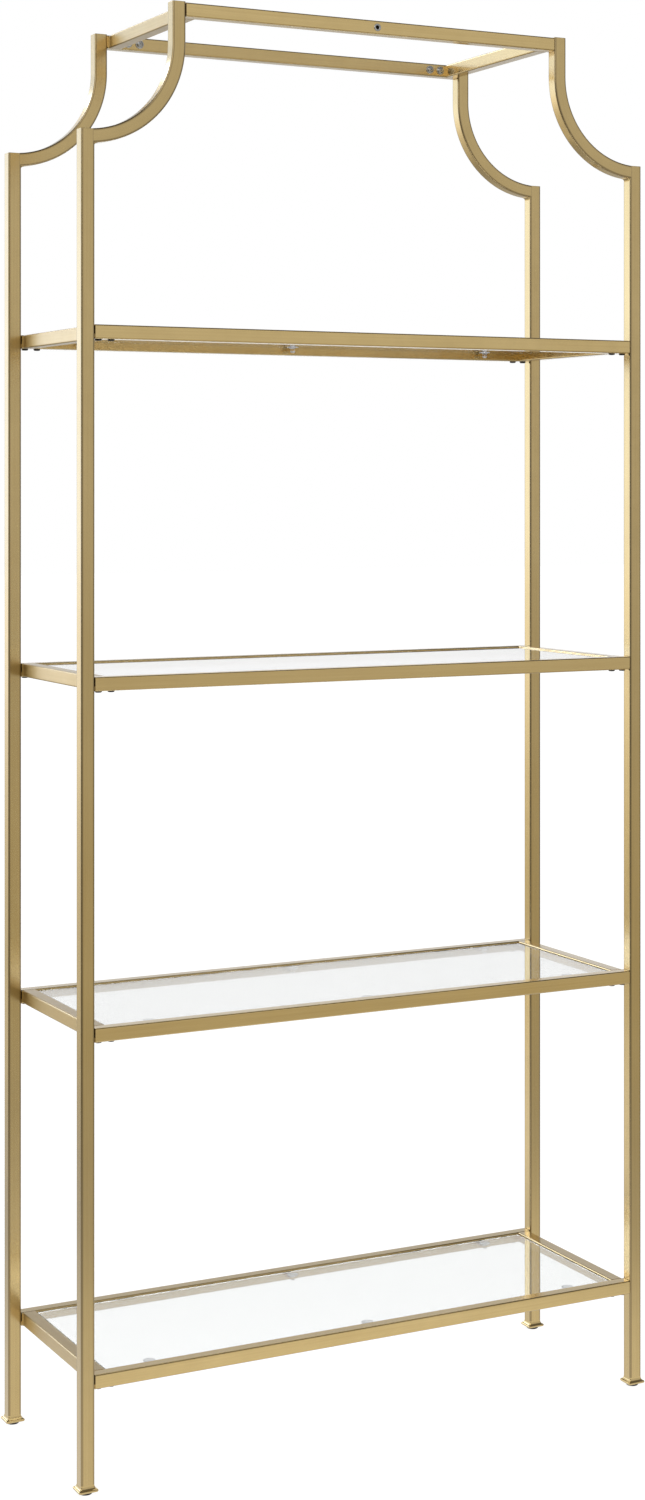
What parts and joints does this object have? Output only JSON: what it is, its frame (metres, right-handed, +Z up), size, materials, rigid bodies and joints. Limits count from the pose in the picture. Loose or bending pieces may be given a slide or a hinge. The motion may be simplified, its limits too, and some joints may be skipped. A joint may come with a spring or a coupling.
{
  "type": "etagere",
  "caption": "Tall open etagere of square gold tube with pagoda-curved top corners, framed clear glass shelves and levelling feet.",
  "frame": {"origin": "on the floor, at the middle of the four feet", "axes": "+Z up, +X to the right seen from the front, front at -Y"},
  "size_m": [0.838, 0.302, 1.88],
  "materials": {
    "gold_metal": "satin gold plated steel",
    "clear_glass": "clear tempered glass",
    "clear_rubber": "clear soft vinyl",
    "black_plastic": "black nylon",
    "dark_steel": "black oxide",
    "zinc_steel": "zinc plated"
  },
  "bodies": {
    "frame": {"arch_back_left": "gold_metal", "arch_back_right": "gold_metal", "arch_front_left": "gold_metal", "arch_front_right": "gold_metal", "foot_back_left": "gold_metal", "foot_back_right": "gold_metal", "foot_front_left": "gold_metal", "foot_front_right": "gold_metal", "post_back_left": "gold_metal", "post_back_right": "gold_metal", "post_front_left": "gold_metal", "post_front_right": "gold_metal", "shelf_1_back_rail": "gold_metal", "shelf_1_bumpers": "clear_rubber", "shelf_1_front_rail": "gold_metal", "shelf_1_glass_tabs": "gold_metal", "shelf_1_left_rail": "gold_metal", "shelf_1_right_rail": "gold_metal", "shelf_1_screws": "dark_steel", "shelf_2_back_rail": "gold_metal", "shelf_2_bumpers": "clear_rubber", "shelf_2_front_rail": "gold_metal", "shelf_2_glass_tabs": "gold_metal", "shelf_2_left_rail": "gold_metal", "shelf_2_right_rail": "gold_metal", "shelf_2_screws": "dark_steel", "shelf_3_back_rail": "gold_metal", "shelf_3_bumpers": "clear_rubber", "shelf_3_front_rail": "gold_metal", "shelf_3_glass_tabs": "gold_metal", "shelf_3_left_rail": "gold_metal", "shelf_3_right_rail": "gold_metal", "shelf_3_screws": "dark_steel", "shelf_4_back_rail": "gold_metal", "shelf_4_bumpers": "clear_rubber", "shelf_4_front_rail": "gold_metal", "shelf_4_glass_tabs": "gold_metal", "shelf_4_left_rail": "gold_metal", "shelf_4_right_rail": "gold_metal", "shelf_4_screws": "dark_steel", "tongues_back_left": "gold_metal", "tongues_back_right": "gold_metal", "tongues_front_left": "gold_metal", "tongues_front_right": "gold_metal", "top_back_rail": "gold_metal", "top_front_rail": "gold_metal", "top_left_rail": "gold_metal", "top_right_rail": "gold_metal", "top_screws": "zinc_steel", "tube_caps": "gold_metal", "wall_anchors": "zinc_steel"},
    "levelling_glide_back_left": {"glide_back_left": "black_plastic"},
    "levelling_glide_back_right": {"glide_back_right": "black_plastic"},
    "levelling_glide_front_left": {"glide_front_left": "black_plastic"},
    "levelling_glide_front_right": {"glide_front_right": "black_plastic"},
    "shelf_1_glass_pane": {"shelf_1_glass": "clear_glass"},
    "shelf_2_glass_pane": {"shelf_2_glass": "clear_glass"},
    "shelf_3_glass_pane": {"shelf_3_glass": "clear_glass"},
    "shelf_4_glass_pane": {"shelf_4_glass": "clear_glass"}
  },
  "joints": [
    {"name": "glide_back_left_screw", "type": "slide", "parent": "frame", "child": "levelling_glide_back_left", "axis": [0, 0, -1], "range_m": [0, 0.01]},
    {"name": "glide_back_right_screw", "type": "slide", "parent": "frame", "child": "levelling_glide_back_right", "axis": [0, 0, -1], "range_m": [0, 0.01]},
    {"name": "glide_front_left_screw", "type": "slide", "parent": "frame", "child": "levelling_glide_front_left", "axis": [0, 0, -1], "range_m": [0, 0.01]},
    {"name": "glide_front_right_screw", "type": "slide", "parent": "frame", "child": "levelling_glide_front_right", "axis": [0, 0, -1], "range_m": [0, 0.01]},
    {"name": "shelf_1_glass_lift", "type": "slide", "parent": "frame", "child": "shelf_1_glass_pane", "axis": [0, 0, 1], "range_m": [0, 0.12]},
    {"name": "shelf_2_glass_lift", "type": "slide", "parent": "frame", "child": "shelf_2_glass_pane", "axis": [0, 0, 1], "range_m": [0, 0.12]},
    {"name": "shelf_3_glass_lift", "type": "slide", "parent": "frame", "child": "shelf_3_glass_pane", "axis": [0, 0, 1], "range_m": [0, 0.12]},
    {"name": "shelf_4_glass_lift", "type": "slide", "parent": "frame", "child": "shelf_4_glass_pane", "axis": [0, 0, 1], "range_m": [0, 0.12]}
  ]
}
